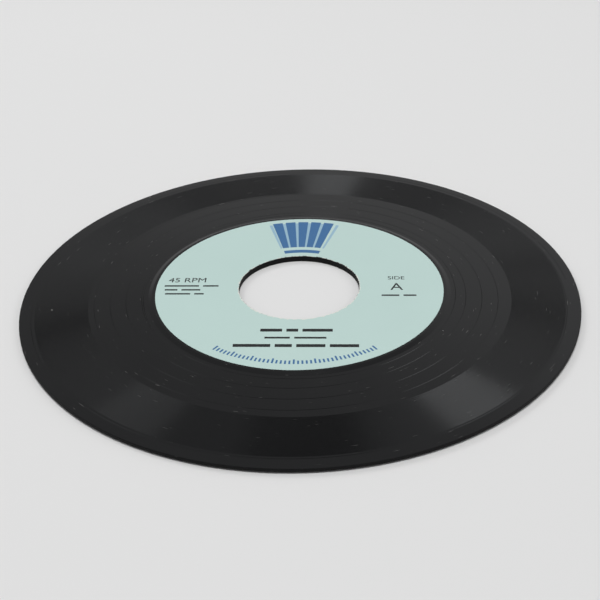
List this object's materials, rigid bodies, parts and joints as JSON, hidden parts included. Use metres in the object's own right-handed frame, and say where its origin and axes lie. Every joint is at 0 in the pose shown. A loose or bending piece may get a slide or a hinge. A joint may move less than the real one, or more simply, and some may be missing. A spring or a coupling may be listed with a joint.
{
  "type": "vinyl record",
  "caption": "Flat black vinyl disc with a large centre hole, raised label lands, grooved faces and pale paper labels.",
  "frame": {"origin": "centre of the large hole, on the plane of side B that the record lies on", "axes": "+Z is the axis the record turns about, from side B to side A; +Y points to the top of the side A label's print and +X to its right"},
  "size_m": [0.1746, 0.1746, 0.002],
  "materials": {
    "vinyl": "gloss",
    "label_paper_a": "satin",
    "label_paper_b": "satin"
  },
  "bodies": {
    "root": {"vinyl_disc": "vinyl", "label_side_a": "label_paper_a", "label_side_b": "label_paper_b"}
  },
  "joints": []
}
